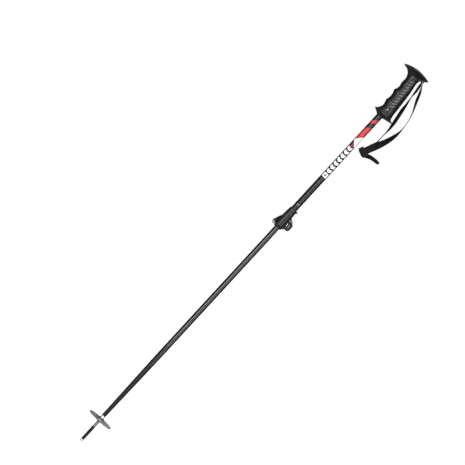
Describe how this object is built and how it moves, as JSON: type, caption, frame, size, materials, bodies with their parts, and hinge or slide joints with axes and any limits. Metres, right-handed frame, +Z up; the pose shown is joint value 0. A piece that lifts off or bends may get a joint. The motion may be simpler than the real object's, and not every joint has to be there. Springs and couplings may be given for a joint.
{
  "type": "ski pole",
  "caption": "Telescopic ski pole with a flared finger grip, a webbing wrist strap, a lever clamp between two tubes, a round snow basket and a cupped hard tip.",
  "frame": {"origin": "lowest point of the tip on the shaft's axis", "axes": "+Z up along the shaft, +X towards the back of the grip where the wrist strap leaves it, finger grooves on -X, clamp screw head on -Y"},
  "size_m": [0.1043, 0.059, 1.0322],
  "materials": {
    "painted_tube": "gloss black with red and white printed bands",
    "black_tube": "gloss black anodised",
    "black_plastic": "semi-gloss",
    "bright_metal": "polished",
    "hard_steel": "ground",
    "smoke_plastic": "smoke grey, slightly see-through at thin edges",
    "clamp_plastic": "fine satin, glass filled",
    "bright_steel": "bright plated",
    "grip_rubber": "satin",
    "grip_plastic": "satin",
    "webbing": "woven webbing",
    "buckle_plastic": "semi-gloss"
  },
  "bodies": {
    "upper": {"upper_tube": "painted_tube", "clamp_collar": "clamp_plastic", "collar_rivet": "clamp_plastic", "guide_bush": "black_plastic", "screw_washer": "bright_steel", "cam_plate": "bright_steel", "barrel_pin": "bright_steel", "grip_body": "grip_rubber", "grip_lid": "grip_plastic", "lid_pin": "bright_steel", "strap_pin": "bright_steel"},
    "screw": {"clamp_screw": "bright_steel"},
    "lever": {"cam_lever": "clamp_plastic"},
    "guide": {"end_plug": "black_plastic"},
    "lower": {"lower_tube": "black_tube", "ferrule": "bright_metal", "tip_sleeve": "black_plastic", "tip_point": "hard_steel"},
    "basket": {"basket": "smoke_plastic"},
    "strap": {"wrist_strap": "webbing"},
    "slider": {"strap_slider": "buckle_plastic"}
  },
  "joints": [
    {"name": "lever_swing", "type": "hinge", "parent": "upper", "child": "lever", "pos_m": [0.014, 0.01075, 0.614], "axis": [0, 0, -1], "range_deg": [0, 120]},
    {"name": "screw_turn", "type": "hinge", "parent": "upper", "child": "screw", "pos_m": [0.014, 0, 0.614], "axis": [0, -1, 0], "range_deg": [-360, 360]},
    {"name": "shaft_slide", "type": "slide", "parent": "upper", "child": "guide", "axis": [0, 0, 1], "range_m": [-0.02, 0.295]},
    {"name": "shaft_swivel", "type": "hinge", "parent": "guide", "child": "lower", "pos_m": [0, 0, 0.695], "axis": [0, 0, 1], "continuous": true},
    {"name": "basket_swivel", "type": "hinge", "parent": "lower", "child": "basket", "pos_m": [0, 0, 0.0585], "axis": [0, 0, 1], "continuous": true},
    {"name": "strap_swing", "type": "hinge", "parent": "upper", "child": "strap", "pos_m": [0.0186, 0, 1.0232], "axis": [0, -1, 0], "range_deg": [0, 65]},
    {"name": "slider_slide", "type": "slide", "parent": "strap", "child": "slider", "axis": [0.3907, 0, 0.9205], "range_m": [0, 0.013]}
  ]
}
